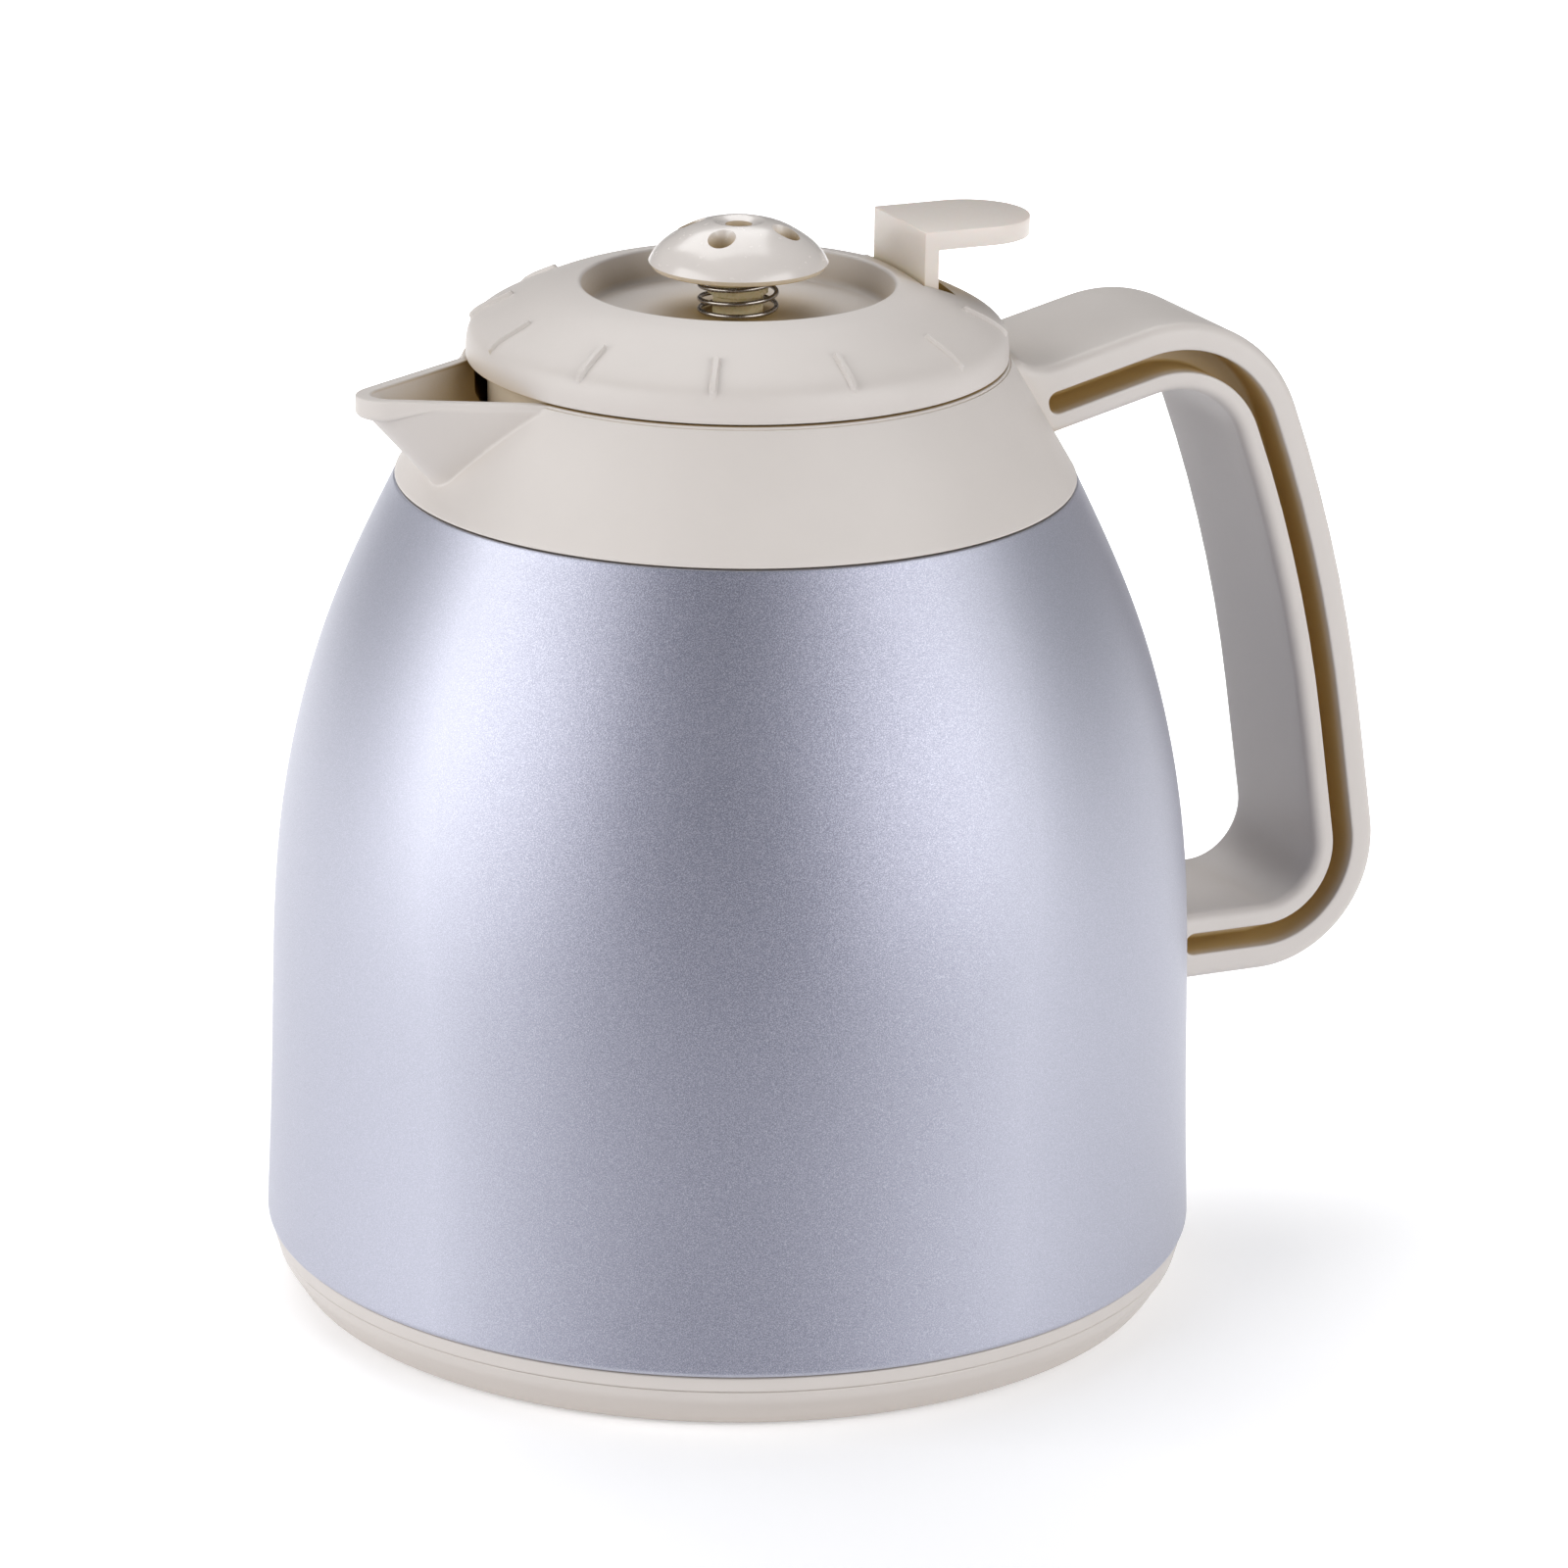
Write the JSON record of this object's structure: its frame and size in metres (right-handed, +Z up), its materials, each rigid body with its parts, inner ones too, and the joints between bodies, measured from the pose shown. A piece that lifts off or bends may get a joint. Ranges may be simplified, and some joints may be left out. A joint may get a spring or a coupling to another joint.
{
  "type": "insulated coffee jug",
  "caption": "Insulated coffee serving jug with a glass vacuum flask, open spout, C handle, twist-off lid, sprung brew knob and a thumb lever that opens the pouring valve.",
  "frame": {"origin": "centre of the base, on the surface that the jug stands on", "axes": "+Z up, the handle on the +X side, the spout on the -X side"},
  "size_m": [0.1868, 0.15, 0.1742],
  "materials": {
    "shell_paint": "satin metallic paint, pale blue-grey, with fine flake",
    "body_plastic": "fine matte texture, ivory",
    "lid_plastic": "fine matte texture, ivory",
    "base_plastic": "smooth, slightly glossy, ivory",
    "knob_plastic": "smooth and glossy, ivory",
    "lever_plastic": "smooth, slightly translucent, warm ivory",
    "stem_plastic": "smooth, slightly translucent, cream",
    "spring_steel": "drawn wire, dark",
    "plain_steel": "zinc plated, plain",
    "clear_silicone": "milky silicone, matte",
    "foot_rubber": "pale rubber, matte",
    "cushion_rubber": "black rubber, matte",
    "spacer_felt": "pressed mineral felt",
    "silvered_glass": "silvered glass, bright"
  },
  "bodies": {
    "jug": {"outer_shell": "shell_paint", "collar": "body_plastic", "handle": "body_plastic", "handle_bracket": "plain_steel", "handle_screws": "plain_steel", "base_ring": "base_plastic", "base_cap": "base_plastic", "foot_ring": "foot_rubber", "liner_outer": "silvered_glass", "liner_inner": "silvered_glass", "liner_spacers": "spacer_felt", "liner_cushion": "cushion_rubber", "neck_gasket": "clear_silicone"},
    "lid_seal": {"lid_gasket": "clear_silicone"},
    "lid": {"lid_cover": "lid_plastic", "lid_body": "lid_plastic", "lever_pin": "plain_steel"},
    "valve": {"brew_knob": "knob_plastic", "valve_stem": "stem_plastic", "valve_disc": "stem_plastic", "valve_seal": "clear_silicone", "knob_spring": "spring_steel"},
    "lever": {"pour_lever": "lever_plastic"}
  },
  "joints": [
    {"name": "lid_lift", "type": "slide", "parent": "jug", "child": "lid_seal", "axis": [0, 0, 1], "range_m": [0, 0.045]},
    {"name": "lid_turn", "type": "hinge", "parent": "lid_seal", "child": "lid", "pos_m": [0, 0, 0.1385], "axis": [0, 0, 1], "range_deg": [0, 60]},
    {"name": "valve_press", "type": "slide", "parent": "lid", "child": "valve", "axis": [0, 0, -1], "range_m": [0, 0.0023], "stiffness_N_per_m": 300, "springref_m": -0.004, "deforming": ["knob_spring"]},
    {"name": "lever_press", "type": "hinge", "parent": "lid", "child": "lever", "pos_m": [-0.02199, 0.00077, 0.1505], "axis": [0.0349, 0.9994, 0], "range_deg": [0, 6]}
  ],
  "couplings": [
    {"joint": "lever_press", "follows": "valve_press", "rad_per_m": 45.455}
  ]
}
